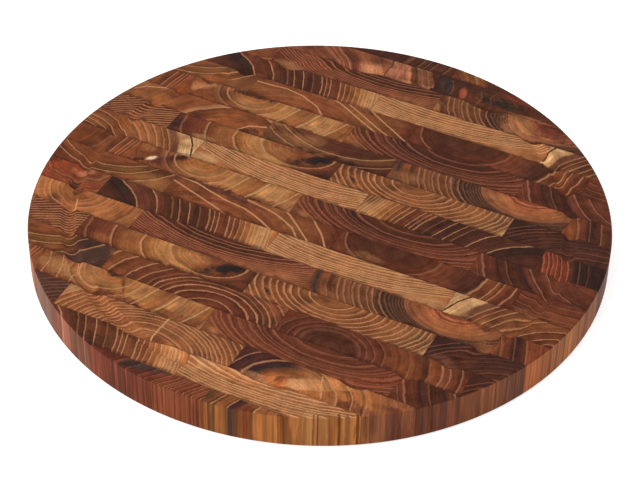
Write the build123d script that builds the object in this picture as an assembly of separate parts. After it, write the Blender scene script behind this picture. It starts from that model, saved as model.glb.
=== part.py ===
"""A round end-grain chopping block with a juice groove.

Teak planks are edge-glued into a panel as thick as one plank. The panel is cross-cut into slices as
long as the board is thick. The slices are stood on end, so that end grain faces up, and glued side
by side as rows, each slid along from its neighbour so that the joints never line up. The slab is
then turned to a disc, its edges are eased, and a round-nosed cutter runs a groove near the rim.

Every block of wood is its own solid. Millimetres. The origin is the centre of the underside, +Z is
up, the rows run along X, and rows are counted from the middle row towards the back (+Y) and front.
"""

import math
import os

from build123d import *

# The board as a whole
board_diameter = 400.0
board_thickness = 26.0
top_edge_chamfer = 1.0
bottom_edge_chamfer = 1.0

# The planks that it is glued up from, and how the rows are laid
plank_width = 132.0  # the length of one block along its row
plank_thickness = 21.95  # 22 mm stock, skimmed flat before gluing: the pitch of the rows
middle_row_y = -1.0  # the centre line of the middle row
middle_joint_x = -15.0  # the joint nearest the centre in the middle row and every second row
bond_offset = 38.0  # how far the rows between are slid along from those

# The juice groove, cut by a vee cutter with a rounded nose
groove_inset = 27.5  # from the rim to the middle of the groove
groove_depth = 3.2
groove_nose_radius = 5.0
groove_nose_flats = 6  # the rounded nose is drawn as this many flats
groove_wall_slope = 45.0  # degrees from level

# Rows up to this far from the middle are long, and each of their blocks is its own sub-part.
# The short rows beyond it are one sub-part each, with their blocks as separate solids.
long_rows_each_side = 6

# Planks vary in width and the rows were lined up by eye, so joints drift from the regular bond.
# For each row, the drift of the joint left of its middle joint, of that joint, and of the next.
joint_drift = {
    9: (0.0, -7.0, 0.0),
    8: (0.0, 23.0, 0.0),
    7: (-5.0, -3.0, 0.0),
    6: (-5.0, -5.0, -3.0),
    5: (-1.6, -3.0, -2.0),
    4: (-5.4, -6.0, -4.0),
    3: (33.0, 1.0, 1.0),  # a narrow plank stood left of the middle here
    2: (6.0, 5.0, 5.0),
    1: (0.0, -1.0, -1.0),
    0: (0.0, -3.0, -1.0),
    -1: (3.0, 1.0, 0.0),
    -2: (1.0, 1.0, 0.0),
    -3: (2.0, 3.0, 4.0),
    -4: (10.0, 8.0, 6.0),
    -5: (7.0, 5.0, 3.0),
    -6: (3.0, 1.0, 2.0),
    -7: (-2.0, -4.0, 0.0),
    -8: (0.0, 7.0, 0.0),
    -9: (0.0, -4.0, 0.0),
}

board_radius = board_diameter / 2


def groove_section():
    """The groove's outline from its inner lip, down round the cutter's nose, to its outer lip."""
    groove_radius = board_radius - groove_inset
    floor = board_thickness - groove_depth
    wall = math.radians(groove_wall_slope)
    angles = [wall * (2 * i / groove_nose_flats - 1) for i in range(groove_nose_flats + 1)]
    nose = [
        (groove_radius + groove_nose_radius * math.sin(a), floor + groove_nose_radius * (1 - math.cos(a)))
        for a in angles
    ]
    wall_width = (board_thickness - nose[0][1]) / math.tan(wall)
    inner_lip = (nose[0][0] - wall_width, board_thickness)
    outer_lip = (nose[-1][0] + wall_width, board_thickness)
    return [inner_lip, *nose, outer_lip]


def board():
    """The whole turned disc: its half section, with eased edges and the groove, spun about Z."""
    with BuildPart() as turned:
        with BuildSketch(Plane.XZ):
            with BuildLine():
                Polyline(
                    (0, board_thickness),
                    *groove_section(),
                    (board_radius - top_edge_chamfer, board_thickness),
                    (board_radius, board_thickness - top_edge_chamfer),
                    (board_radius, bottom_edge_chamfer),
                    (board_radius - bottom_edge_chamfer, 0),
                    (0, 0),
                    close=True,
                )
            make_face()
        revolve(axis=Axis.Z)
    return turned.part


def half_chord(y):
    """Half the length of the board's outline along X, at a distance y from its centre line."""
    return math.sqrt(max(board_radius**2 - y**2, 0.0))


def row_edges(row):
    """The two long edges of a row, as Y values."""
    centre = middle_row_y + row * plank_thickness
    return centre - plank_thickness / 2, centre + plank_thickness / 2


def innermost(low, high):
    """The distance from the board's centre line to the nearest part of a row."""
    return 0.0 if low < 0 < high else min(abs(low), abs(high))


def row_joints(row):
    """The joints across a row that fall on the board, as X values from left to right."""
    middle = middle_joint_x + (bond_offset if row % 2 else 0.0)
    drift = dict(zip((-1, 0, 1), joint_drift.get(row, (0.0, 0.0, 0.0))))
    reach = half_chord(innermost(*row_edges(row)))
    furthest = math.ceil(2 * board_radius / plank_width)
    joints = [
        middle + number * plank_width + drift.get(number, 0.0)
        for number in range(-furthest, furthest + 1)
    ]
    return [x for x in joints if abs(x) < reach]


def row_blocks(row, disc):
    """The blocks of one row from left to right, each cut from the disc between two joints."""
    low, high = row_edges(row)
    ends = [-board_radius, *row_joints(row), board_radius]
    blocks = []
    for left, right in zip(ends, ends[1:]):
        middle = Pos((left + right) / 2, (low + high) / 2, board_thickness / 2)
        blocks += (disc & middle * Box(right - left, high - low, board_thickness)).solids()
    return blocks


def row_name(row):
    if row == 0:
        return "middle_row"
    return f"{'back' if row > 0 else 'front'}_row_{abs(row)}"


os.makedirs("parts", exist_ok=True)
disc = board()
furthest_row = math.ceil(board_radius / plank_thickness) + 1
for row in range(-furthest_row, furthest_row + 1):
    if innermost(*row_edges(row)) >= board_radius:
        continue
    blocks = row_blocks(row, disc)
    if abs(row) <= long_rows_each_side:
        for number, block in enumerate(blocks, 1):
            export_step(block, f"parts/{row_name(row)}_block_{number}.step")
    else:
        export_step(Compound(blocks), f"parts/{row_name(row)}_blocks.step")
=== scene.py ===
import math

import bpy
import numpy as np
from mathutils import Matrix, Vector


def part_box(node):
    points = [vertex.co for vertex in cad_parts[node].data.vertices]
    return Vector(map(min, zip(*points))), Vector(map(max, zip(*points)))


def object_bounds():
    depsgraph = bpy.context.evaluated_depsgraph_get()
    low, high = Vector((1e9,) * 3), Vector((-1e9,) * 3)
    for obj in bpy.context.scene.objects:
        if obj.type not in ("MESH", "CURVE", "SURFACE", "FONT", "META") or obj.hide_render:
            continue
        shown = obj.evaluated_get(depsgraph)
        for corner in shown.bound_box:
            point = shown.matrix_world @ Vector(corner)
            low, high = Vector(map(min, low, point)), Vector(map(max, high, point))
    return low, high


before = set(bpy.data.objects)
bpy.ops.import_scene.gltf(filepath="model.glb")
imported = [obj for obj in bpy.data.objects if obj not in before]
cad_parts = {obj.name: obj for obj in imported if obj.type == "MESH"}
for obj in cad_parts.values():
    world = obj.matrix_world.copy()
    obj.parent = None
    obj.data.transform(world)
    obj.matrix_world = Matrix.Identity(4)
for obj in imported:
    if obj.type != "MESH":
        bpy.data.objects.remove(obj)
cad_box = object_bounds()


# The straw panel. Teak planks are glued edge to edge, cut across into slices and stood on end, so
# each block shows its plank's growth rings. This panel holds a dark plank whose rings tighten to
# one side, a straw-coloured one, and one with a strip of checked sapwood. Four rows come from it.


class Socket:
    """A node's output in a material. Sums written on it add Math nodes, and add() any other node."""

    def __init__(self, tree, output=None):
        self.tree = tree
        self.output = output

    def add(self, kind, settings=None, inputs=None, output=0):
        """Adds a node of a kind, with its settings first and then a value or Socket for each input."""
        node = self.tree.nodes.new(kind)
        for name, setting in (settings or {}).items():
            if name == "stops":
                fill_ramp(node.color_ramp, setting)
            else:
                setattr(node, name, setting)
        for name, value in (inputs or {}).items():
            if isinstance(value, Socket):
                self.tree.links.new(value.output, node.inputs[name])
            else:
                node.inputs[name].default_value = value
        return Socket(self.tree, node.outputs[output])

    def math(self, operation, *values):
        return self.add("ShaderNodeMath", {"operation": operation}, dict(enumerate(values)))

    def vector(self, operation, *values, output=0):
        return self.add("ShaderNodeVectorMath", {"operation": operation}, dict(enumerate(values)), output)

    def __add__(self, other):
        return self.math("ADD", self, other)

    def __sub__(self, other):
        return self.math("SUBTRACT", self, other)

    def __rsub__(self, other):
        return self.math("SUBTRACT", other, self)

    def __mul__(self, other):
        return self.math("MULTIPLY", self, other)

    def __truediv__(self, other):
        return self.math("DIVIDE", self, other)

    __radd__ = __add__
    __rmul__ = __mul__

    def larger(self, other):
        return self.math("MAXIMUM", self, other)

    def smaller(self, other):
        return self.math("MINIMUM", self, other)

    def unsigned(self):
        """How far this is from 0, with no sign."""
        return self.math("ABSOLUTE", self)

    def part(self, name):
        """The X, Y or Z of this vector."""
        return self.add("ShaderNodeSeparateXYZ", None, {0: self}, name)

    def rise(self, low, high):
        """0 below low, 1 above high and a smooth step between; low above high gives a fall."""
        ends = {"Value": self, "From Min": low, "From Max": high}
        return self.add("ShaderNodeMapRange", {"interpolation_type": "SMOOTHSTEP"}, ends)

    def span(self, low, high):
        """0 at low, 1 at high, straight between and held beyond."""
        ends = {"Value": self, "From Min": low, "From Max": high}
        return self.add("ShaderNodeMapRange", {"clamp": True}, ends)

    def noise(self, size, depth, seed, detail=1.0, output=0):
        """Noise of 0 to 1, whose features are about `size` long in X and Y and `depth` long in Z."""
        stretch = {
            "Vector": self,
            "Location": (seed * 7.3, seed * 3.1, seed),
            "Scale": (1 / size, 1 / size, 1 / depth),
        }
        place = self.add("ShaderNodeMapping", {"vector_type": "POINT"}, stretch)
        texture = {"Vector": place, "Scale": 1.0, "Detail": detail}
        return place.add("ShaderNodeTexNoise", None, texture, output)

    def about_zero(self, reach):
        """This noise as an amount that swings by half the reach to each side of 0."""
        return (self - 0.5) * reach

    def about_one(self, reach):
        """This noise as a factor that swings by half the reach to each side of 1."""
        return self * reach + (1 - reach / 2)

    def mix(self, other, factor):
        """This colour with the other laid over it as far as the factor says."""
        layers = {0: factor, 6: self, 7: other}
        return self.add("ShaderNodeMix", {"data_type": "RGBA"}, layers, 2)

    def lit(self, light):
        """This colour made lighter or darker, as many times as light says."""
        return self.add("ShaderNodeVectorMath", {"operation": "SCALE"}, {0: self, 3: light})


def fill_ramp(ramp, stops):
    """Sets a colour ramp to (position, colour) stops."""
    while len(ramp.elements) > 1:
        ramp.elements.remove(ramp.elements[-1])
    for index, (position, colour) in enumerate(stops):
        stop = ramp.elements[0] if index == 0 else ramp.elements.new(position)
        stop.position = position
        stop.color = colour


def band(first, last, colour):
    """Two stops that hold one tone from a first place to a last."""
    return (first, colour), (last, colour)


def tone(red, green, blue):
    """A colour as light values, from its screen values of 0 to 255."""
    parts = np.array([red, green, blue]) / 255
    light = np.where(parts < 0.04045, parts / 12.92, ((parts + 0.055) / 1.055) ** 2.4)
    return (*light.tolist(), 1.0)


plum = tone(60, 34, 29)
umber = tone(80, 43, 29)
russet = tone(103, 52, 34)
chestnut = tone(124, 68, 40)
tan = tone(145, 88, 52)
amber = tone(163, 98, 54)
honey = tone(178, 121, 72)
straw = tone(196, 146, 98)
sapwood = tone(206, 160, 108)
pale_line = tone(202, 142, 98)
glue_line = tone(52, 28, 22)

PLANK_WIDTH = 132.0  # the length of a whole block along its row
MOST_LINES = 30  # ring lines of one plank, because a colour ramp has room for two stops more
MOST_RINGS = MOST_LINES + 3  # a ring's number is kept in a ramp as a share of this
WIDEST_RING = 20.0  # and its width as a share of this
FAINT_LINE = 0.35  # how strong a faint ring line is beside a full one
WEAKEST_LINE = 0.7  # ring lines of a plank vary in strength from this to 1
RING_MARGIN = 3.0  # how far the rings are drawn beyond the first and last that are given


class Plank:
    """A plank's cross-section, in mm along the row from its left edge and up from its middle line.

    A place's ring radius is its distance from the pith, with lengths along the row divided by
    `stretch`. `rings` are the places where pale ring lines cross the middle line, `arcs` the heights
    at which they pass the pith, and `faint` and `faint_arcs` those of weaker ones. `tones` are
    (place on the middle line, colour); left and right of the pith may differ. `marks` are stains
    and knots, as (place, height, length, width, angle, colour, force), and `strokes` are lines
    drawn through points, as (points, colour, width, force). `sway` is how far the rings wander,
    `streaks` and `late` how strong the streaks along them and the dark at their outer sides are,
    and `cloud` the tone of the wood's clouds.
    """

    made = 0

    def __init__(self, pith, tones, rings=(), arcs=(), faint=(), faint_arcs=(), stretch=1.0, line=None,
                 line_width=1.0, line_force=0.85, sway=1.2, streaks=1.3, late=0.4, cloud=None, marks=(),
                 strokes=()):
        self.pith = pith
        self.stretch = stretch
        self.line = line or pale_line
        self.line_width = line_width
        self.line_force = line_force
        self.sway = sway
        self.streaks = streaks
        self.late = late
        self.cloud = cloud or umber
        self.marks = marks
        self.strokes = strokes
        Plank.made += 1
        self.seed = Plank.made
        strength = np.random.default_rng(self.seed)
        radii = [(self.radius(u, 0)[0], 1.0) for u in rings]
        radii += [(self.radius(pith[0], v)[0], 1.0) for v in arcs]
        radii += [(self.radius(u, 0)[0], FAINT_LINE) for u in faint]
        radii += [(self.radius(pith[0], v)[0], FAINT_LINE) for v in faint_arcs]
        drawn = [(radius, force * strength.uniform(WEAKEST_LINE, 1.0)) for radius, force in radii]
        self.lines = sorted(drawn)
        places = [(*self.radius(u, 0), colour) for u, colour in tones]
        left = sorted((radius, colour) for radius, side, colour in places if side < 0)
        right = sorted((radius, colour) for radius, side, colour in places if side > 0)
        self.tones = [stops for stops in (left, right) if stops]
        ends = [radius for radius, _ in self.lines] + [radius for radius, _, _ in places]
        self.least = max(min(ends) - RING_MARGIN, 0.0)
        self.most = max(ends) + RING_MARGIN

    def radius(self, u, v):
        """The ring radius of a place, and which side of the pith it lies on, as -1 or 1."""
        along = (u - self.pith[0]) / self.stretch
        return math.hypot(along, v - self.pith[1]), 1 if along >= 0 else -1

    def share(self, radius):
        """How far a ring radius lies between the least and the most of the plank."""
        return (radius - self.least) / (self.most - self.least)

    def ring_stops(self):
        """Ramp stops over the ring radius: the ring's number, the ring's width and its line's force.

        Inside the first line, the number is that of a ring partly passed, with no line of its own.
        """
        lines = self.lines[:MOST_LINES] or [(self.least + 0.5, 0.0)]
        edges = [radius for radius, _ in lines] + [self.most + 2.0]
        stops = [(0.0, (0.4 / MOST_RINGS, 0.2, 0.0, 1.0))]
        for number, (radius, force) in enumerate(lines, 1):
            width = min(edges[number] - radius, WIDEST_RING) / WIDEST_RING
            stops.append((self.share(radius), (number / MOST_RINGS, width, force, 1.0)))
        stops.append((1.0, ((len(lines) + 0.7) / MOST_RINGS, width, force, 1.0)))
        return stops


def block_joints(node):
    """The places along the row of the joints at a block's left and right, None at the rim, in mm."""
    low, high = (1000 * corner.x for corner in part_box(node))
    row, number = node.rsplit("_block_", 1)
    is_last = f"{row}_block_{int(number) + 1}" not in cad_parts
    return None if number == "1" else low, None if is_last else high


def row_middle(node):
    """A row's middle line, in mm, counted from the middle row's by the pitch of the rows."""
    low, high = (1000 * corner.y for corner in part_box("middle_row_block_2"))
    if node.startswith("middle"):
        return (low + high) / 2
    side, _, count = node.split("_")[:3]
    return (low + high) / 2 + (high - low) * int(count) * (1 if side == "back" else -1)


BOARD_THICKNESS = 1000 * (cad_box[1][2] - cad_box[0][2])
BOARD_RADIUS = 1000 * (cad_box[1][0] - cad_box[0][0]) / 2
ROW_PITCH = 21.95
GROOVE_RADIUS = 172.5
GROOVE_HALF_WIDTH = 5.3
GROOVE_NOSE = 5.0
GROOVE_REACH = 4.5  # the whole groove lies nearer than this to the chopping face
EDGE = 1.0  # the eased edges of the rim
NEAR_FACET = 0.8  # the cosine of the most that a facet leans from the surface it stands for


def turned_surface(place):
    """The way the lathe-turned surface faces, so that its facets don't show, and 1 in the groove.

    Across the rim's eased edges the angle from straight up (or down) grows evenly from 0 to 90
    degrees. In the groove its sine is the distance from the groove's middle over the nose radius.
    """
    x, y, z = (place.part(name) * 1000 for name in "XYZ")
    radius = place.math("SQRT", x * x + y * y)
    from_face = z.smaller(BOARD_THICKNESS - z)
    flat_radius = BOARD_RADIUS - EDGE
    eased = ((radius - flat_radius - from_face + EDGE) / (2 * EDGE)).span(0.0, 1.0)
    at_rim = radius.span(flat_radius - 0.4, flat_radius - 0.2)
    rim_tilt = place.math("SINE", eased * at_rim * (math.pi / 2))

    off_groove = radius - GROOVE_RADIUS
    wall = math.sin(math.pi / 4)
    nose = (off_groove / -GROOVE_NOSE).smaller(wall).larger(-wall)
    in_groove = off_groove.unsigned().rise(GROOVE_HALF_WIDTH + 0.3, GROOVE_HALF_WIDTH - 0.3)
    groove_floor = BOARD_THICKNESS - GROOVE_REACH
    in_groove = in_groove * z.span(groove_floor, groove_floor + 0.1)

    tilt = rim_tilt + nose * in_groove
    outward = tilt / radius.larger(1.0)
    upright = place.math("SQRT", 1 - (tilt * tilt).smaller(1.0))
    upright = upright * (z.span(BOARD_THICKNESS / 2 - 0.1, BOARD_THICKNESS / 2 + 0.1) * 2 - 1)
    turned = place.add("ShaderNodeCombineXYZ", None, {0: x * outward, 1: y * outward, 2: upright})
    flat = place.add("ShaderNodeNewGeometry", None, None, "Normal")
    agrees = place.vector("DOT_PRODUCT", turned, flat, output=1).span(NEAR_FACET, NEAR_FACET + 0.02)
    kept = {0: agrees, 4: flat, 5: turned}
    return place.add("ShaderNodeMix", {"data_type": "VECTOR"}, kept, 1), in_groove


LINE_FUZZ = 0.9  # how far specks in the wood push a ring line to and fro
SIDES_MEET = 9.0  # how far from the pith the tones of its two sides run into each other
STREAK_TURN = 0.03  # streaks follow the rings, and change this much for each mm along them


def ring_pattern(plank, spot, fine):
    """The plank's tone along its rings, the share of a ring passed, the pale line over it, and streaks.

    A ramp turns the ring radius into the ring's number. What is left of the number after its whole
    part is the share of the ring passed, and that times the ring's width the distance from its line.
    A line fades outwards over its width, or sooner in a narrow ring, and inwards over 0.4 mm.
    """
    centre = {"Vector": spot, "Location": (*plank.pith, 0), "Scale": (plank.stretch, 1, 1e6)}
    around = spot.add("ShaderNodeMapping", {"vector_type": "TEXTURE"}, centre)
    wander = spot.noise(7.0, 20.0, plank.seed + 0.9)
    radius = spot.vector("LENGTH", around, output=1)
    radius = radius + fine.about_zero(LINE_FUZZ) + wander.about_zero(plank.sway)
    share = radius.span(plank.least, plank.most)
    ring = spot.add("ShaderNodeValToRGB", {"stops": plank.ring_stops()}, {0: share})
    number, width, force = (
        spot.add("ShaderNodeSeparateColor", None, {0: ring}, name) for name in ("Red", "Green", "Blue")
    )
    passed = spot.math("FRACT", number * MOST_RINGS)
    line_widths = passed * width * (WIDEST_RING / plank.line_width)
    outer_side = line_widths.larger(passed * 2.4).rise(1.1, 0.15)
    inner_side = ((1 - passed) * width * WIDEST_RING).rise(0.4, 0.0)

    sides = []
    for side in plank.tones:
        stops = [(plank.share(place), colour) for place, colour in side]
        sides.append(spot.add("ShaderNodeValToRGB", {"stops": stops}, {0: share}))
    colour = sides[0]
    if len(sides) == 2:
        colour = colour.mix(sides[1], around.part("X").rise(-SIDES_MEET, SIDES_MEET))
    layers = spot.add("ShaderNodeCombineXYZ", None, {2: radius})
    layers = spot.vector("MULTIPLY_ADD", around, (STREAK_TURN, STREAK_TURN, 0), layers)
    streaks = layers.noise(1.0, 1.2, plank.seed, detail=2.0)
    return colour, passed, outer_side.larger(inner_side) * force, streaks


MARK_DEPTH = 14.0  # how far down the figure a stain or knot goes, and four times as far in the wood
MARK_EDGE = (1.35, 0.5)  # where its edge begins and where it has its full tone, as shares of its size


def lay_marks(colour, spot, marks, ragged):
    """Lays stains and knots over the wood: ovals of a tone, whose edges are as ragged as its figure."""
    for u, v, length, width, angle, mark_tone, force in marks:
        outline = {
            "Vector": spot,
            "Location": (u, v, 0),
            "Rotation": (0, 0, math.radians(angle)),
            "Scale": (length / 2, width / 2, MARK_DEPTH),
        }
        oval = spot.add("ShaderNodeMapping", {"vector_type": "TEXTURE"}, outline)
        from_middle = spot.vector("LENGTH", oval, output=1) + ragged
        colour = colour.mix(mark_tone, from_middle.rise(*MARK_EDGE) * force)
    return colour


def stroke_distance(spot, points):
    """How far a place is from a line drawn through points."""
    distance = None
    for (u1, v1), (u2, v2) in zip(points, points[1:]):
        way = Vector((u2 - u1, v2 - v1, 0))
        off = spot.vector("MULTIPLY_ADD", spot, (1, 1, 0), (-u1, -v1, 0))
        passed = spot.vector("DOT_PRODUCT", off, tuple(way / way.length_squared), output=1).span(0.0, 1.0)
        gap = spot.vector("LENGTH", spot.vector("MULTIPLY_ADD", passed, tuple(-way), off), output=1)
        distance = gap if distance is None else distance.smaller(gap)
    return distance


def lay_strokes(colour, spot, strokes, fine, speck):
    """Draws single ring lines and cracks over the wood, broken up by its specks."""
    for points, stroke_tone, width, force in strokes:
        gap = stroke_distance(spot, points) + fine.about_zero(LINE_FUZZ)
        drawn = gap.rise(width / 2 + 0.3, width / 2 - 0.35)
        colour = colour.mix(stroke_tone, drawn * force * (0.5 + speck))
    return colour


LENGTHWISE = 0.25  # a plank's figure changes this many times as fast down its length as across it
EARLY_WOOD = 1.04  # how light the first wood of a ring is; plank.late is how much darker the last is
MOTTLE = 1.08  # how far patches of a few mm lighten and darken the wood
SPECKS = 0.90  # and how far its specks do
PALE_CLOUDS = 0.18  # how much lighter the pale clouds are
TONED_CLOUDS = 0.75  # how much of their own tone the other clouds have
LINES_LOST_ON_WALL = 0.85
GLUE_SPREAD = 6.0  # how unevenly glue has soaked in from the front edge
GLUE_FORCE = 0.45
FIBRES = 0.7  # the strength of the fine fibres on the wall, and of the broad ones
LEAST_FIBRE = 0.32  # how light the darkest fibres are
GROOVE_PAINTED_LIGHT = 0.22
PORE_DEPTH = 0.0003
SHEEN = 0.04  # oiled wood reflects very little


def end_grain(name, plank, left, right, middle, flipped=False, shift=0.0, marks=(),
              strokes=(), wall=(1.2, 1.3, 1.1), soak=0.5):
    """The finish of one block: its plank's section stood on end, oiled, with a glue line round it.

    The marks and strokes given here are the block's own, for a plank changes along its length. On the
    board's wall red, green and blue are `wall` times as strong: partly the long grain's own paler tone
    and partly painted light, which lightens or darkens each block's wall for how the lamps and the
    grazing sheen fall on it. In the groove the wood is painted a little lighter, as painted light
    that offsets the shade the lamps leave there. `soak` is how far glue has darkened the block's
    front edge.
    """
    material = bpy.data.materials.new(name)
    material.use_nodes = True
    tree = material.node_tree
    tree.nodes.clear()
    along = -1.0 if flipped else 1.0
    if flipped:
        start = right if right is not None else left + PLANK_WIDTH
    else:
        start = left if left is not None else right - PLANK_WIDTH
    place = Socket(tree).add("ShaderNodeTexCoord", None, None, "Object")
    to_plank = {
        "Vector": place,
        "Location": (-along * start - shift, -middle, -LENGTHWISE * BOARD_THICKNESS),
        "Scale": (1000 * along, 1000, 1000 * LENGTHWISE),
    }
    local = place.add("ShaderNodeMapping", {"vector_type": "POINT"}, to_plank)
    wave = local.noise(26.0, 30.0, plank.seed, output=1)
    sway = 2 * plank.sway
    spot = local.vector("MULTIPLY_ADD", wave, (sway, sway, 0), (-sway / 2, -sway / 2, 0))
    spot = local.vector("ADD", spot, local)
    fine = local.noise(1.5, 3.0, plank.seed + 0.5)
    speck = local.noise(0.8, 8.0, plank.seed + 0.7, detail=2.0)
    mottle = local.noise(7.0, 12.0, plank.seed + start / 300, detail=2.0)
    clouds = local.noise(22.0, 20.0, plank.seed + start / 200, detail=1.0)

    # The end grain: rings, clouds and marks, then light and dark over them, then lines.
    colour, passed, line, streaks = ring_pattern(plank, spot, fine)
    late_wood = passed * passed * passed * plank.late
    light = (EARLY_WOOD - late_wood) * mottle.about_one(MOTTLE) * speck.about_one(SPECKS)
    light = light * streaks.about_one(plank.streaks)
    light = light * (1 + clouds.rise(0.48, 0.25) * PALE_CLOUDS)
    ragged = mottle.about_zero(1.7) + fine.about_zero(0.7) + streaks.about_zero(0.7)
    colour = colour.mix(plank.cloud, clouds.rise(0.5, 0.75) * TONED_CLOUDS)
    colour = lay_marks(colour, spot, (*plank.marks, *marks), ragged).lit(light)
    facing = place.add("ShaderNodeNewGeometry", None, None, "Normal")
    on_wall = facing.part("Z").unsigned().rise(0.6, 0.45)
    broken = 0.25 + mottle * 0.6 + speck * 0.6
    line = line * plank.line_force * broken * (1 - on_wall * LINES_LOST_ON_WALL)
    colour = colour.mix(plank.line, line)
    colour = lay_strokes(colour, spot, (*plank.strokes, *strokes), fine, speck)

    # The glue: a thin dark line at each joint, soaked in along the front edge.
    u = local.part("X") + shift
    v = local.part("Y")
    edge = ROW_PITCH / 2 - v.unsigned()
    for joint in (left, right):
        if joint is not None:
            edge = edge.smaller((u - along * (joint - start)).unsigned())
    from_front = v + ROW_PITCH / 2
    from_front = from_front + mottle.about_zero(GLUE_SPREAD) + clouds.about_zero(GLUE_SPREAD)
    colour = colour.mix(glue_line, from_front.rise(2.2, 0.2) * soak)
    colour = colour.mix(glue_line, edge.rise(0.4, 0.05) * GLUE_FORCE)

    # The long grain on the wall: the same tones in upright fibres, partly paler in their own tone and
    # partly lightened or darkened by painted light through `wall`.
    fibres = local.noise(1.0, 60.0, plank.seed + 0.3, detail=3.0) * FIBRES
    fibres = fibres + local.noise(5.0, 90.0, plank.seed + 0.4, detail=1.0) * FIBRES
    turned, in_groove = turned_surface(place)
    # Painted light: the groove is painted lighter to offset the shade the lamps leave in it.
    colour = colour.lit(1 + in_groove * GROOVE_PAINTED_LIGHT)
    # Painted light: `wall` lightens or darkens each block's wall for how the lamps and the grazing sheen
    # fall on it.
    long_grain_and_painted_light = colour.vector("MULTIPLY", colour, wall).lit(fibres + LEAST_FIBRE)
    colour = colour.mix(long_grain_and_painted_light, on_wall)

    ridges = {"Strength": 0.25, "Distance": PORE_DEPTH, "Height": speck + line * 0.5, "Normal": turned}
    bump = place.add("ShaderNodeBump", None, ridges)
    roughness = 0.46 + speck * 0.12 + line * 0.06
    finish = {"Base Color": colour, "Roughness": roughness, "Specular IOR Level": SHEEN, "Normal": bump}
    surface = place.add("ShaderNodeBsdfPrincipled", None, finish)
    out = tree.nodes.new("ShaderNodeOutputMaterial")
    tree.links.new(surface.output, out.inputs["Surface"])
    return material


def slice_of(plank, node, **how):
    """Finishes one block of a long row as a slice of a plank."""
    left, right = block_joints(node)
    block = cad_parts[node]
    block.data.materials.clear()
    block.data.materials.append(end_grain(node, plank, left, right, row_middle(node), **how))


def short_row(node, joints, planks):
    """Finishes the blocks of a short row, which share a node, as slices of planks parted at the joints."""
    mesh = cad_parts[node].data
    mesh.materials.clear()
    ends = [None, *joints, None]
    middle = row_middle(node)
    for number, (plank, how) in enumerate(planks):
        name = f"{node}_{number + 1}"
        mesh.materials.append(end_grain(name, plank, ends[number], ends[number + 1], middle, **how))
    behind = 0.1  # a face that lies in a joint is told by the wood just behind it
    centres = np.array([1000 * face.center.x - behind * face.normal.x for face in mesh.polygons])
    mesh.polygons.foreach_set("material_index", np.searchsorted(joints, centres).astype(np.int32))


striped = Plank(
    pith=(-11, -35),
    rings=(24, 42, 60, 68, 83.5, 87, 90, 98, 101.5, 105.5, 109.5, 114, 117, 119.5, 122, 124.5, 127, 129.5),
    faint=(54.5, 76),
    tones=(
        (0, umber), (12, plum), (22, tone(62, 42, 32)), *band(25, 42, tone(97, 51, 35)), (52, umber),
        (78, umber), (94, russet), (105, chestnut), (112, amber), (120, honey),
        (126, tone(184, 132, 86)), (131, amber),
    ),
)
straw_strip = Plank(
    pith=(45, 222),
    arcs=(10.4, 7.6, 5, 2.1, -0.9, -2.9, -4.4, -6.9, -8.9, -11),
    tones=((46, tone(153, 94, 56)), (90, tone(157, 98, 59))),
    line=tone(214, 160, 112), line_width=1.3, line_force=1.0, late=0.34, cloud=tone(176, 122, 82),
    sway=1.0,
)
sapwood_edge = Plank(
    pith=(92, -35), stretch=1.12,
    rings=(23.5, 28, 34, 41, 49),
    arcs=(8, 1, -4, -8),
    tones=(
        (0, straw), (6, sapwood), (15, straw), (16.5, tone(112, 68, 46)), (23, tone(102, 62, 44)),
        (26, chestnut), (36, tan), (60, chestnut), (90, russet),
    ),
)
sapwood_crack = (((12, 12), (5, 2), (0, -9)), umber, 1.4, 1.0)
flame = Plank(
    pith=(105, 16), stretch=1.3,
    faint=(70, 84, 120),
    tones=(
        (60, tone(115, 56, 36)), (90, tone(131, 60, 36)), (105, tone(123, 63, 38)),
        (116, tone(134, 75, 46)), (131, tone(121, 65, 40)),
    ),
    sway=5.0, cloud=tone(132, 62, 38),
)
tan_corner = Plank(
    pith=(60, 20), stretch=1.3,
    faint=(110, 121),
    tones=((90, russet), (110, russet), (125, tone(120, 76, 42)), (132, russet)),
)
ember = Plank(
    pith=(-94, -34),
    rings=(2.5, 6, 9, 12, 15.5, 20),
    faint=(28, 34),
    tones=(
        (0, russet), (4, tone(126, 56, 36)), (20, tone(108, 52, 34)), (24, tone(58, 35, 28)),
        (40, tone(48, 31, 26)),
    ),
    line=tone(176, 104, 78),
)
slice_of(tan_corner, "back_row_6_block_1")
slice_of(striped, "back_row_6_block_2", shift=4)
slice_of(straw_strip, "back_row_6_block_3")
slice_of(
    sapwood_edge, "back_row_6_block_4", shift=-5,
    marks=((36, 0, 44, 34, 0, umber, 0.6), (11, 5, 12, 9, 0, tone(160, 112, 74), 0.6)),
    strokes=((((9, 11), (6, 3), (5, -6)), umber, 1.6, 1.0),),
)
slice_of(
    sapwood_edge, "back_row_1_block_1", flipped=True,
    marks=(
        (44, 0, 50, 30, 0, amber, 0.45), (17, 6, 12, 10, 0, tone(132, 84, 58), 0.6),
        (81, -3, 24, 16, 0, tan, 0.6), (3, -7, 10, 8, 0, tone(228, 182, 132), 0.65),
    ),
    strokes=(sapwood_crack,),
)
slice_of(
    straw_strip, "back_row_1_block_2", flipped=True,
    marks=((121, -6, 24, 10, 0, tone(202, 150, 104), 0.7),),
)
slice_of(striped, "back_row_1_block_3", flipped=True, shift=2, marks=((40, 0, 96, 34, 0, plum, 0.5),))
slice_of(ember, "back_row_1_block_4", wall=(4.0, 3.2, 2.7))
slice_of(
    flame, "front_row_2_block_1",
    marks=(
        (111, 7, 18, 8, 20, tone(178, 112, 76), 0.8), (113, 9, 6, 5, 0, umber, 0.8),
        (112, -8, 9, 6, 60, plum, 0.8), (84, 9, 14, 8, 0, umber, 0.7),
    ),
)
slice_of(striped, "front_row_2_block_2")
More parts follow.
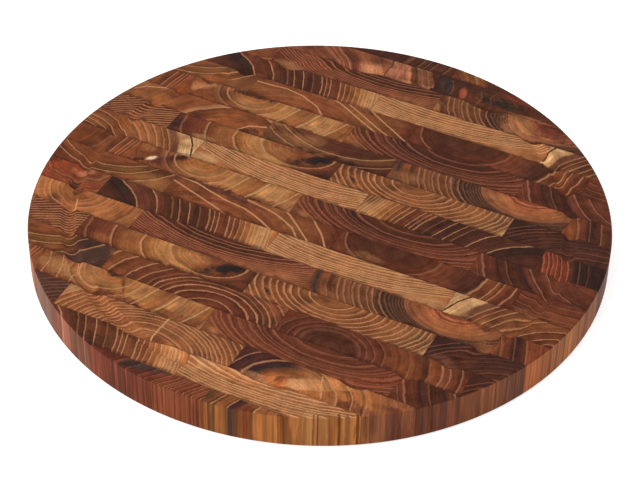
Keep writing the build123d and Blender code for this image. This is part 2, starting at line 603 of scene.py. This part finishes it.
slice_of(straw_strip, "front_row_2_block_3", marks=((122, -6, 28, 10, 0, tone(182, 130, 86), 0.7),))
slice_of(
    sapwood_edge, "front_row_2_block_4", marks=((9, 0, 14, 28, 0, tone(170, 122, 82), 0.65),),
    strokes=(sapwood_crack,), wall=(1.9, 2.4, 2.0),
)
streak = tone(104, 58, 28)
wall_streaks = (
    (((94, -2), (95.5, -6)), streak, 0.9, 0.9), (((96.5, -1), (98, -5)), streak, 1.0, 0.9),
    (((107, 5), (110, 2)), streak, 1.6, 0.95),
    (((112, 7), (114, 4)), tone(132, 84, 54), 2.0, 0.8), (((117, 11), (119, 7)), streak, 1.8, 0.95),
)
short_row(
    "front_row_8_blocks", [-8.0],
    [
        (
            striped,
            {
                "wall": (2.6, 3.0, 3.1),
                "marks": (
                    (108, 0, 60, 34, 0, tan, 0.35), (88, 8, 22, 7, 0, umber, 0.6),
                    (69, 4, 20, 9, 0, chestnut, 0.6),
                ),
            },
        ),
        (
            straw_strip,
            {
                "wall": (1.0, 0.95, 0.72), "strokes": wall_streaks,
                "marks": ((2, -9, 20, 7, 0, chestnut, 0.7),),
            },
        ),
    ],
)


# The stained panel. Its teak planks are an orange one, a red one with close rings, and one that a
# mineral stain has streaked brown and slate beside a broad orange band, with red wood at the right
# end. It was glued up and cross-cut like the first, for rows back 7 and front 3 and half of back 3.

slate = tone(60, 50, 46)
orange = tone(172, 102, 58)

orange_ringed = Plank(
    pith=(81, 11), stretch=1.1,
    rings=(53, 62),
    faint=(70, 108.5, 124.5),
    tones=(
        (40, amber), (60, orange), (76, amber), (79, tan), (81, chestnut), (83, chestnut),
        *band(87, 110, tone(168, 100, 58)), (130, tan),
    ),
    marks=((81, 9, 11, 8, 0, umber, 0.7),),
    strokes=((((84, 1), (89, -9)), straw, 1.2, 0.8),),
)
red_ringed = Plank(
    pith=(63, 39), stretch=2.0,
    arcs=(8.1, 5.3, 1.4, -1.9, -3.9, -5.9, -7.1, -8.6, -10.3, -12, -13.8, -15.6, -17.4),
    tones=(
        (62, umber), (30, russet), (0, russet), (64, umber), (95, russet), (115, chestnut), (132, tan),
    ),
    line=tone(174, 108, 78), line_width=0.9,
)
stained = Plank(
    pith=(99, 14), stretch=1.5,
    rings=(20.5, 25, 31, 36, 42, 46, 52),
    faint=(13, 29, 56, 59, 61.5, 64, 66.5, 69, 71.5),
    tones=(
        (0, chestnut), (4, slate), (8, tone(120, 66, 38)), (12, tone(138, 80, 46)), (15, umber),
        (20, tone(118, 70, 43)), (45, tone(108, 63, 39)), (53, tone(66, 40, 31)),
        (70, tone(76, 46, 34)), (73, tone(146, 82, 48)), (80, tone(162, 97, 60)),
        (98, tone(154, 88, 54)),
    ),
    line=tone(180, 126, 90), line_force=0.7, line_width=0.9,
    marks=((100, 12, 36, 9, 0, tone(120, 58, 42), 0.6),),
    strokes=(
        (((85, 11), (92, 6), (100, 4.5), (108, 6), (116, 11)), tone(112, 48, 36), 1.5, 0.8),
        (((90, 11), (100, 8), (111, 11)), tone(112, 48, 36), 1.5, 0.7),
    ),
)
stained_end = Plank(
    pith=(-94, -34),
    faint=(4, 13, 21),
    tones=((0, chestnut), (10, russet), (13, plum), (17, plum), *band(22, 40, tone(120, 62, 38))),
)
slice_of(orange_ringed, "front_row_3_block_1", marks=((92, 9, 12, 8, 0, tone(176, 108, 66), 0.65),))
slice_of(red_ringed, "front_row_3_block_2")
slice_of(
    stained, "front_row_3_block_3",
    marks=(
        (131, -6, 18, 12, 0, tone(140, 84, 54), 0.7), (118, 10, 26, 8, 0, tone(104, 54, 38), 0.7),
        (20, -8, 18, 8, 0, tone(142, 88, 54), 0.6),
    ),
)
slice_of(stained_end, "front_row_3_block_4", wall=(1.9, 2.3, 2.0))
red_heart = (
    (100, 6, 52, 22, 0, tone(104, 50, 36), 0.9), (76, 0, 26, 28, 15, tone(170, 112, 72), 0.8),
    (13, -5, 8, 12, 0, honey, 0.6), (101, 10, 26, 9, 0, plum, 0.8), (58, -7, 10, 8, 0, plum, 0.6),
)
heart_line = tone(160, 98, 70)
heart_rings = (
    (((79, 11), (82, 5), (87, 0), (94, -3), (102, -4), (110, -2), (117, 3)), heart_line, 0.7, 0.6),
    (((75, 11), (77, 5), (82, -2), (88, -6), (96, -8), (106, -8), (115, -4)), heart_line, 0.7, 0.6),
    (((84, 11), (86, 6), (91, 2), (98, 0), (105, 1), (111, 6)), tone(144, 84, 60), 0.7, 0.6),
)
short_row(
    "back_row_7_blocks", [-114.0, 20.0],
    [
        (flame, {}),
        (red_ringed, {"shift": 26, "marks": ((-10, -8, 26, 9, 0, tone(154, 102, 70), 0.75),)}),
        (stained, {"shift": -12, "marks": red_heart, "strokes": heart_rings}),
    ],
)


# The tan panel: a teak plank with wide rings round a black knot and one with even golden rings,
# between one with close slanting rings and a very dark one. It was glued up and cross-cut like the
# first, for rows back 2 and front 4.


def evenly(first, last, count):
    """Places evenly from first to last."""
    return tuple(np.linspace(first, last, count).tolist())


ink = tone(40, 32, 30)
cherry = tone(128, 62, 44)
dim_line = tone(156, 94, 66)

diagonal = Plank(
    pith=(173, -132),
    arcs=evenly(-11, 50, 24),
    tones=((60, russet), (100, russet), (125, chestnut), (140, chestnut)),
    line_width=0.9, late=0.55,
)
wide_ringed = Plank(
    pith=(97, 10), stretch=1.6,
    rings=(27, 50, 74),
    faint=(8,),
    tones=(
        (0, umber), (8, russet), (26, russet), (30, chestnut), (40, tan), (52, amber), (70, honey),
        (85, amber), (94, tone(136, 78, 46)), (98, chestnut), (131, umber),
    ),
    marks=((113, 5, 34, 10, 27, ink, 0.95), (118, -3, 26, 4, 30, cherry, 0.6)),
)
golden_ringed = Plank(
    pith=(56, 12), stretch=1.6,
    rings=(78, 84, 90, 95.5, 101, 106.5, 111.5, 116.5, 121, 125, 129),
    arcs=(2, -2.5),
    tones=(
        (0, tan), (20, chestnut), (54, tan), (58, tan), (80, tone(134, 76, 44)), (108, tan),
        (117, tone(122, 78, 48)), (131, tone(120, 76, 48)), (136, straw),
    ),
    marks=((14, -1, 9, 4, -30, plum, 0.8),),
)
night = Plank(
    pith=(80, -45), stretch=1.4,
    rings=(2, 8, 13),
    faint=(20, 27, 34, 43, 55),
    arcs=(-4, 2),
    tones=((0, plum), (20, plum), (40, tone(70, 40, 32)), (80, tone(76, 42, 32))),
    line=dim_line, line_force=0.55,
)
slice_of(diagonal, "back_row_2_block_1")
slice_of(
    wide_ringed, "back_row_2_block_2",
    marks=(
        (4, -2, 8, 18, 0, ink, 0.7), (30, -8, 18, 7, 0, tone(178, 126, 82), 0.6),
        (86, 3, 20, 9, 0, tone(164, 108, 68), 0.6), (70, -9, 22, 8, 0, tone(188, 130, 80), 0.6),
    ),
)
slice_of(golden_ringed, "back_row_2_block_3")
slice_of(night, "back_row_2_block_4", wall=(2.0, 2.1, 1.8))
slice_of(diagonal, "front_row_4_block_1")
slice_of(
    wide_ringed, "front_row_4_block_2", shift=-3,
    marks=(
        (84, 4, 30, 11, 0, tone(186, 124, 76), 0.7), (86, -11, 36, 9, 0, tone(88, 46, 32), 0.85),
        (22, -5, 16, 9, 0, tan, 0.6), (44, -4, 16, 9, 0, amber, 0.6),
        (129, -7, 12, 8, 0, chestnut, 0.6),
    ),
)
slice_of(golden_ringed, "front_row_4_block_3", shift=-1)
slice_of(
    night, "front_row_4_block_4", marks=((13, -9, 20, 9, 0, tone(124, 76, 54), 0.6),),
    wall=(2.1, 2.2, 1.7),
)


# The knotty panel: a golden teak plank with a knot near its left edge between two red ones, and dark
# red wood at its right. It was glued up and cross-cut like the first, for rows back 4, middle and
# front 6.

upright_grain = Plank(
    pith=(-40, 25),
    rings=(118, 123, 125.5, 128),
    faint=(104,),
    tones=(
        (60, chestnut), (96, tone(134, 71, 41)), (108, tone(154, 90, 54)),
        *band(120, 131, tone(134, 71, 41)),
    ),
    line=tone(190, 122, 90), line_width=0.8,
)
golden = Plank(
    pith=(49, 12), stretch=1.15,
    rings=(64.8,),
    faint=(72,),
    tones=(
        (0, chestnut), (20, chestnut), (35, tan), (48, amber), (50, amber), (62, honey), (64, amber),
        (78, honey), (92, amber), (97, tan), (101, honey), (116, honey), (121, tan), (131, amber),
    ),
    marks=((60, -11, 120, 4.5, 0, russet, 0.7), (111, 0, 17, 18, 20, tone(182, 130, 84), 0.5)),
    strokes=(
        (((78, -11), (83, -1), (87, 11)), sapwood, 1.2, 0.6),
        (((94, -11), (99, -1), (103, 11)), sapwood, 1.4, 0.65),
        (((116, -11), (121, -1), (126, 11)), sapwood, 1.2, 0.6),
    ),
)
bowl_ringed = Plank(
    pith=(78, 18), stretch=2.17,
    rings=(4, 8.5, 13, 20.5, 29, 38, 47, 118, 128),
    faint=(101, 113, 123),
    arcs=(6.5, 0),
    tones=(
        (0, tone(156, 98, 62)), (5, tone(118, 66, 42)), (14, tone(94, 48, 33)), (30, tone(84, 42, 29)),
        (60, plum), (77, umber), (79, umber), (100, tone(86, 44, 30)), (131, tone(98, 50, 34)),
    ),
    line=tone(166, 97, 68), sway=0.9,
)
slanted_dark = Plank(
    pith=(91, 42),
    rings=(6, 44, 57),
    faint=(2, 24),
    tones=(
        (0, russet), (12, russet), (17, plum), (20, umber), (30, umber), (36, plum),
        *band(40, 60, tone(98, 52, 36)),
    ),
    line=tone(182, 124, 96), line_force=0.7,
)
slice_of(upright_grain, "back_row_4_block_1", shift=-3)
slice_of(
    golden, "back_row_4_block_2",
    marks=(
        (48, 10, 30, 5, 0, plum, 0.9), (9, 5, 22, 10, 20, tone(186, 124, 84), 0.75),
        (102, 4, 20, 12, 0, tone(148, 94, 60), 0.75), (49, -1, 18, 9, 0, tone(182, 124, 82), 0.6),
    ),
)
slice_of(
    bowl_ringed, "back_row_4_block_3",
    marks=((66, 0, 190, 80, 0, plum, 0.28), (3, -4, 16, 12, 0, amber, 0.6)),
)
slice_of(slanted_dark, "back_row_4_block_4")
slice_of(upright_grain, "middle_row_block_1")
slice_of(
    golden, "middle_row_block_2",
    marks=(
        (27, 4, 30, 9, 38, tone(84, 42, 38), 0.85), (31, 7, 14, 4, 38, plum, 0.8),
        (8, -7, 12, 3.5, 30, plum, 0.8), (112, -10, 34, 8, 0, russet, 0.7),
        (127, -4, 14, 14, 0, tone(182, 124, 80), 0.65), (50, -1, 26, 9, 0, honey, 0.7),
        (69, -10, 24, 8, 0, russet, 0.7), (7, 7, 14, 8, 0, tone(160, 98, 62), 0.6),
        (15, -2, 9, 4, 42, tone(236, 198, 160), 1.0),
    ),
)
slice_of(bowl_ringed, "middle_row_block_3")
slice_of(slanted_dark, "middle_row_block_4", wall=(2.3, 2.6, 1.9))
slice_of(upright_grain, "front_row_6_block_1", wall=(1.8, 2.3, 2.6))
slice_of(
    golden, "front_row_6_block_2",
    marks=(
        (26, 1, 54, 16, 0, tone(168, 114, 70), 0.8), (66, -9, 32, 9, 0, russet, 0.9),
        (110, 0, 30, 30, 0, tone(146, 92, 56), 0.75), (111, -8, 32, 8, 0, chestnut, 0.7),
        (34, 10, 22, 6, 0, tone(164, 110, 72), 0.7), (54, 10, 12, 5, 0, plum, 0.9),
        (64, 4, 18, 2, -58, cherry, 0.8),
    ),
    strokes=(
        (((4, 11), (8, 2), (9, -11)), pale_line, 0.8, 0.6),
        (((14, 11), (19, 1), (21, -11)), pale_line, 0.8, 0.65),
        (((25, 11), (30, 1), (31, -11)), pale_line, 0.8, 0.6),
    ),
)
slice_of(bowl_ringed, "front_row_6_block_3", marks=((66, 0, 190, 80, 0, tone(138, 72, 46), 0.25),))
slice_of(slanted_dark, "front_row_6_block_4", wall=(1.7, 1.8, 1.7))


# The wavy panel: a brown teak plank, one with long wavy rings and a smooth red one. It was glued up
# and cross-cut like the first, for rows back 5 and front 1. Front row 5 is from planks sawn beside
# them, and ends in wood from the tan panel.

brown_waved = Plank(
    pith=(74, 50),
    arcs=(-1.5, -8.5, -18),
    tones=(
        (0, umber), (40, russet), (73, chestnut), (75, chestnut), (95, tone(118, 76, 42)),
        (115, chestnut), (131, tone(118, 71, 44)),
    ),
    sway=2.0,
)
long_waved = Plank(
    pith=(45, -60),
    tones=((44, chestnut), (70, chestnut), (90, tan), (110, chestnut), (128, russet)),
)
domed = Plank(
    pith=(83, -16), stretch=1.5,
    rings=(-2, 9, 23, 33, 46, 58),
    arcs=(2.5, -4.5),
    faint=(114, 125),
    tones=(
        (0, chestnut), (40, russet), (82, russet), (84, russet), (112, russet),
        *band(124, 131, tone(130, 72, 46)),
    ),
)
smooth_red = Plank(
    pith=(38, 12), stretch=1.3,
    rings=(104.5, 113, 117.5, 126),
    faint=(69,),
    tones=(
        (0, russet), (20, umber), (37, umber), (39, umber), (60, russet), (85, tone(116, 62, 40)),
        (94, tone(96, 52, 42)), (103, umber), (107, chestnut), (125, russet),
    ),
)
oval_ringed = Plank(
    pith=(39, -9), stretch=1.4,
    rings=(113, 118, 126),
    faint=(55, 60, 66, 73, 91, 104.5),
    tones=(
        (0, russet), (20, tone(92, 48, 33)), (37, umber), (41, umber), (58, tone(92, 48, 33)),
        (72, russet), (90, chestnut), (102, umber), (107, chestnut), (125, russet),
    ),
    line=tone(176, 118, 92),
)
waved_end = Plank(
    pith=(20, 50), stretch=1.5,
    faint_arcs=(-2, -8, 5),
    tones=((0, russet), (19, russet), (21, russet), (50, tone(122, 66, 42))),
    line_force=0.8,
)
slice_of(
    brown_waved, "back_row_5_block_1", shift=-4,
    marks=((36, -6, 16, 9, 60, honey, 0.8), (90, 0, 90, 40, 0, tan, 0.35)),
)
slice_of(
    long_waved, "back_row_5_block_2",
    marks=(
        (6, -2, 16, 10, 0, tan, 0.7), (78, 9, 32, 8, 0, tone(112, 62, 40), 0.6),
        (26, -1, 36, 10, 0, tan, 0.7), (115, 6, 18, 8, 0, tan, 0.6),
    ),
    strokes=(
        (((0, 5), (25, 7), (40, 4), (55, -3), (62, -10)), pale_line, 1.3, 0.8),
        (((63, 11), (80, 2), (95, -5), (106, -11)), pale_line, 1.3, 0.8),
        (((73, 11), (95, 0), (115, -11)), pale_line, 1.2, 0.8),
        (((93, 11), (115, -2), (130, -11)), pale_line, 1.2, 0.8),
    ),
)
slice_of(smooth_red, "back_row_5_block_3")
slice_of(waved_end, "back_row_5_block_4")
slice_of(brown_waved, "front_row_1_block_1", marks=((118, -3, 32, 14, 0, tone(154, 100, 58), 0.7),))
slice_of(
    long_waved, "front_row_1_block_2",
    marks=(
        (52, 7, 40, 5, -8, tone(76, 48, 40), 0.7), (80, 0, 130, 40, 0, russet, 0.25),
        (28, 10, 40, 9, 0, tone(86, 50, 38), 0.8), (106, 2, 24, 12, 0, tan, 0.6),
    ),
    strokes=(
        (((0, 5), (15, 1), (30, -4), (50, -11)), pale_line, 1.3, 0.8),
        (((0, 11), (15, 10), (40, 3), (60, 0), (75, -6), (85, -11)), pale_line, 1.3, 0.9),
        (((57, 9.5), (80, 5), (97, -2), (105, -11)), pale_line, 1.3, 0.8),
        (((86, 11), (100, 1), (113, -11)), pale_line, 1.3, 0.8),
        (((108, 11), (118, 1), (127, -11)), pale_line, 1.3, 0.8),
    ),
)
slice_of(smooth_red, "front_row_1_block_3", marks=((25, -7, 24, 9, 0, tone(150, 94, 60), 0.7),))
slice_of(
    waved_end, "front_row_1_block_4", marks=((11, -9, 18, 8, 0, tone(140, 88, 58), 0.6),),
    wall=(2.3, 2.9, 2.2),
)
slice_of(
    brown_waved, "front_row_5_block_1", shift=-8,
    marks=((128, 0, 44, 34, 70, tone(64, 46, 40), 0.85),),
)
slice_of(domed, "front_row_5_block_2", marks=((58, 10, 64, 7, 0, umber, 0.6),))
slice_of(oval_ringed, "front_row_5_block_3")
slice_of(night, "front_row_5_block_4", marks=((20, 0, 70, 40, 0, umber, 0.55),), wall=(3.2, 3.4, 2.5))


# Back row 3: a teak plank of plain orange wood with few rings and a narrow dark one, stood on end and
# glued like the rest, and filled up with two blocks from the stained panel.

orange_plain = Plank(
    pith=(112, -35),
    arcs=(13,),
    tones=(
        (0, tan), (30, tan), (60, chestnut), *band(90, 111, tone(150, 83, 48)),
        (113, tone(150, 83, 48)), (130, chestnut),
    ),
    sway=2.5,
    marks=(
        (83, -7, 22, 8, 30, umber, 0.6), (122, -8, 14, 8, 0, plum, 0.7),
        (48, -2, 18, 14, 0, amber, 0.6),
    ),
    strokes=(
        (((112, -11), (119, -3), (131, 2)), pale_line, 1.5, 0.9),
        (((22, -1), (29, 5), (42, 10)), pale_line, 1.3, 0.8),
    ),
)
dark_sagging = Plank(
    pith=(53, 45), stretch=1.25,
    arcs=(-4.3, -13),
    tones=(
        (0, tone(110, 70, 44)), (22, tone(138, 88, 54)), (38, tone(146, 92, 58)),
        (45, tone(100, 55, 36)), (60, umber), (80, tone(104, 64, 40)), (98, umber),
    ),
    marks=((62, -9, 46, 7, 0, plum, 0.85), (56, 6, 24, 12, 0, tone(94, 47, 33), 0.7)),
)
slice_of(orange_plain, "back_row_3_block_1")
slice_of(
    dark_sagging, "back_row_3_block_2",
    marks=((36, 3, 18, 12, 0, tone(146, 94, 62), 0.7), (12, 5, 18, 9, 0, umber, 0.55)),
)
slice_of(
    stained, "back_row_3_block_3",
    marks=((14, -4, 24, 12, 0, tone(144, 92, 58), 0.65), (78, 5, 18, 9, 0, tone(178, 114, 76), 0.65)),
)
slice_of(stained_end, "back_row_3_block_4", shift=4, marks=((28, 0, 20, 30, 0, plum, 0.75),))


# The last four short rows, at the back and front rims, are teak offcuts, each with a figure of its
# own. They are stood on end and glued on like the long rows, and only two or three blocks of each
# are left once the slab is turned round.

slate_striped = Plank(
    pith=(190, -105),
    arcs=evenly(-8, 30, 12),
    tones=((80, tone(88, 54, 42)), (131, tone(74, 47, 39))),
    line=dim_line, line_force=0.6,
)
kinked = Plank(
    pith=(74, -22), stretch=1.4,
    rings=(2, 7, 12, 17, 22, 27, 31, 35, 39, 43, 49, 61),
    faint=(93,),
    arcs=(-4,),
    tones=(
        (0, tone(152, 104, 68)), (4, tone(148, 88, 50)), *band(12, 60, tone(136, 78, 44)), (73, tan),
        (75, tan), (110, tone(138, 82, 50)), (131, chestnut),
    ),
    strokes=((((75, 12), (73, -10)), straw, 1.2, 0.9),),
)
plum_and_amber = Plank(
    pith=(42, -14), stretch=1.2,
    rings=(3, 14),
    faint=(90,),
    tones=(
        *band(0, 18, tone(74, 40, 36)), (22, slate), (27, chestnut), *band(41, 43, orange),
        (60, orange), (95, amber), (108, russet), (130, russet),
    ),
    marks=(
        (46, -3, 18, 8, 24, tone(212, 152, 104), 0.75), (56, 2, 24, 10, 12, tone(188, 132, 84), 0.7),
        (34, -5, 8, 5, 20, russet, 0.7), (80, -8, 14, 7, 0, umber, 0.6),
        (112, -4, 30, 16, 0, tone(134, 80, 52), 0.6), (72, 8, 30, 8, 0, tone(184, 118, 72), 0.8),
        (106, 8, 30, 8, 0, tone(154, 92, 58), 0.8), (90, -6, 22, 9, 0, tone(112, 62, 42), 0.8),
        (41, -10, 16, 6, 0, russet, 0.6), (18, -10, 18, 6, 0, tone(168, 114, 80), 0.7),
        (50, 7, 14, 7, 0, tone(182, 116, 72), 0.7),
    ),
    strokes=(
        (((57, 8), (59, 0), (64, -9)), straw, 1.2, 0.7), (((50, 5), (53, -3)), honey, 0.6, 0.6),
        (((46, 3), (48, -4)), honey, 0.6, 0.5),
    ),
)
banded = Plank(
    pith=(0, -60),
    rings=(45, 50, 56),
    faint=(100, 104, 108, 122, 126),
    tones=(
        *band(20, 57, tone(132, 73, 48)), (60, tone(93, 50, 38)), (67, tone(110, 58, 40)),
        (73, tone(139, 81, 53)), (91, tone(146, 86, 58)), (95, tone(172, 108, 78)),
        (112, tone(170, 106, 76)), (114, tone(98, 62, 36)), (118, tone(98, 60, 36)),
        (120, tone(170, 108, 78)), (129, tone(164, 102, 72)), (131, umber), (138, umber),
    ),
    line=tone(190, 130, 98), line_force=0.7, sway=2.5,
    marks=(
        (84, -6, 24, 13, -10, tone(188, 124, 86), 0.85), (80, 7, 30, 7, 0, tone(112, 62, 44), 0.6),
        (121, 2, 18, 28, 0, umber, 0.6),
    ),
    strokes=(
        (((92, 11), (94, 3), (92, -3), (93, -11)), umber, 1.1, 0.8),
        (((99, 11), (101, 0), (100, -11)), tone(128, 70, 48), 0.9, 0.7),
        (((105, 11), (106, 0), (104, -11)), tone(128, 70, 48), 0.9, 0.7),
    ),
)
dark_knotty = Plank(
    pith=(40, -2), stretch=2.0,
    tones=((0, plum), (39, umber), (41, umber), (80, umber), (110, russet)),
    marks=(
        (24, -1, 6, 11, 10, tone(158, 84, 58), 0.75), (55, -2, 30, 12, 5, tone(44, 34, 28), 0.9),
        (66, 8, 40, 8, -8, tone(116, 56, 38), 0.8), (84, -11, 48, 5, 0, tone(160, 94, 62), 0.8),
        (8, 2, 14, 16, 0, slate, 0.6),
    ),
    strokes=(
        (((12, 9), (15, 0), (13, -9)), tone(120, 82, 66), 0.9, 0.6),
        (((36, 6), (40, -2), (37, -8)), tone(120, 82, 66), 0.9, 0.6),
        (((46, 9), (44, 2), (48, -6)), tone(120, 72, 56), 0.8, 0.6),
    ),
    sway=4.0,
)
dark_slanted = Plank(
    pith=(-200, 60),
    faint=(97, 106, 111, 116, 127),
    tones=((40, umber), (100, tone(80, 44, 34)), (130, umber)),
)
amber_then_red = Plank(
    pith=(-40, -40),
    faint=(14,),
    tones=((0, russet), (6, tone(134, 84, 46)), (20, tone(134, 76, 42)), (25, umber), (70, umber)),
)
front_red = Plank(
    pith=(-40, 120),
    rings=(96, 101, 105, 107.5, 110, 114, 118.5, 121, 125, 127, 130),
    faint=(60, 72, 84, 90),
    tones=((40, tone(108, 52, 37)), (90, tone(108, 52, 36)), *band(100, 131, tone(116, 59, 36))),
    marks=((84, 9, 34, 8, 8, slate, 0.85),),
    line=tone(168, 106, 78), line_force=0.8, line_width=0.7, late=0.6,
)
front_amber = Plank(
    pith=(-60, 40),
    rings=(5.5, 14.8, 30),
    tones=(
        (0, tone(96, 60, 36)), (3, tone(130, 74, 44)), *band(6, 7.4, tone(76, 44, 26)),
        *band(8.4, 14.6, tone(134, 78, 44)), *band(15.4, 18, tone(60, 38, 36)),
        *band(18.6, 21, tone(80, 46, 34)), (22, tone(140, 78, 44)), (30, tone(140, 80, 46)),
        (31, tone(140, 82, 48)), (43, tone(138, 82, 48)), (45, tone(120, 66, 36)),
        (51, tone(130, 74, 40)),
    ),
    marks=((27, 4, 8, 3, 80, tone(112, 52, 32), 0.8),),
)
short_row("back_row_8_blocks", [8.0], [(banded, {}), (dark_knotty, {})])
short_row("back_row_9_blocks", [16.0], [(dark_slanted, {}), (amber_then_red, {})])
short_row(
    "front_row_7_blocks", [-111.0, 19.0],
    [
        (slate_striped, {"wall": (2.9, 3.4, 3.2)}),
        (kinked, {"soak": 0.15, "marks": ((42, -4, 26, 12, 0, russet, 0.55),)}),
        (plum_and_amber, {"wall": (0.85, 0.9, 1.0), "soak": 0.1}),
    ],
)
short_row(
    "front_row_9_blocks", [19.0],
    [(front_red, {"wall": (1.55, 1.55, 1.45)}), (front_amber, {"wall": (1.35, 1.45, 1.15)})],
)


# The studio: a pale floor and white surroundings, a large soft lamp above and in front, a low one
# at each side for the wall, and the camera where the photograph was taken from.

FLOOR_TONE = 0.86
FLOOR_LIFT = 0.6  # added to the floor where the camera sees it, so that it shows white
FLOOR_HALF = 6.0
FLOOR_LEVEL = -0.0002  # just clear of the underside
SKY_LIGHT = 0.57  # what the sky gives as light; where it is seen it is 1, which is white


def seen_directly(start):
    """1 for what the camera sees, also in a reflection or through glass, and 0 for all other light."""
    rays = ("Is Camera Ray", "Is Glossy Ray", "Is Transmission Ray")
    camera_ray, mirrored, through = (start.add("ShaderNodeLightPath", None, None, ray) for ray in rays)
    return camera_ray.larger(mirrored).larger(through)


def white_floor():
    """A pale matt floor that keeps the shadow; to the camera and in reflections it is lifted to white."""
    material = bpy.data.materials.new("studio_floor")
    material.use_nodes = True
    tree = material.node_tree
    tree.nodes.clear()
    start = Socket(tree)
    matt = start.add("ShaderNodeBsdfDiffuse", None, {"Color": (FLOOR_TONE, FLOOR_TONE, FLOOR_TONE, 1)})
    lift = {"Color": (1, 1, 1, 1), "Strength": seen_directly(start) * FLOOR_LIFT}
    glow = start.add("ShaderNodeEmission", None, lift)
    both = start.add("ShaderNodeAddShader", None, {0: matt, 1: glow})
    out = tree.nodes.new("ShaderNodeOutputMaterial")
    tree.links.new(both.output, out.inputs["Surface"])
    return material


floor_sides = [(-1, -1), (1, -1), (1, 1), (-1, 1)]
floor_corners = [(FLOOR_HALF * x, FLOOR_HALF * y, FLOOR_LEVEL) for x, y in floor_sides]
floor_mesh = bpy.data.meshes.new("studio_floor")
floor_mesh.from_pydata(floor_corners, [], [(0, 1, 2, 3)])
floor = bpy.data.objects.new("studio_floor", floor_mesh)
floor.data.materials.append(white_floor())
bpy.context.scene.collection.objects.link(floor)

world = bpy.data.worlds.new("studio")
world.use_nodes = True
world.node_tree.nodes.clear()
sky = Socket(world.node_tree)
sky_strength = SKY_LIGHT + seen_directly(sky) * (1 - SKY_LIGHT)
sky_light = sky.add("ShaderNodeBackground", None, {"Color": (1, 1, 1, 1), "Strength": sky_strength})
sky_out = world.node_tree.nodes.new("ShaderNodeOutputWorld")
world.node_tree.links.new(sky_light.output, sky_out.inputs["Surface"])
bpy.context.scene.world = world


def lamp(name, place, size, power):
    """A square soft lamp at a place, turned to face the board's middle."""
    light = bpy.data.lights.new(name, "AREA")
    light.size = size
    light.energy = power
    holder = bpy.data.objects.new(name, light)
    holder.location = place
    holder.rotation_euler = (-Vector(place)).to_track_quat("-Z", "Y").to_euler()
    bpy.context.scene.collection.objects.link(holder)


lamp("key_lamp", (-0.6, -0.85, 1.65), 1.3, 14.5)
lamp("left_lamp", (-1.15, -1.35, 0.5), 1.0, 5.0)
lamp("right_lamp", (1.4, -0.8, 0.5), 1.0, 5.0)

turn = math.radians(26.15)  # the camera stands this far to the right of the board's front
height = math.radians(39.268)  # and this far above the level of its face
distance = 1.3708  # from the middle of its face
aim_drop = math.radians(1.012)  # the camera points this far below that middle
roll = math.radians(0.9895)
face_middle = Vector((0, 0, BOARD_THICKNESS / 1000))
away = Vector((math.sin(turn) * math.cos(height), -math.cos(turn) * math.cos(height), math.sin(height)))
lens = bpy.data.cameras.new("camera")
lens.sensor_fit = "HORIZONTAL"
lens.sensor_width = 36.0
lens.lens = 112.05
lens.shift_x = 0.0006
camera = bpy.data.objects.new("camera", lens)
camera.matrix_world = (
    Matrix.Translation(face_middle + distance * away)
    @ Matrix.Rotation(turn, 4, "Z")
    @ Matrix.Rotation(math.pi / 2 - height - aim_drop, 4, "X")
    @ Matrix.Rotation(roll, 4, "Z")
)
bpy.context.scene.collection.objects.link(camera)
bpy.context.scene.camera = camera
bpy.context.scene.view_settings.view_transform = "Standard"
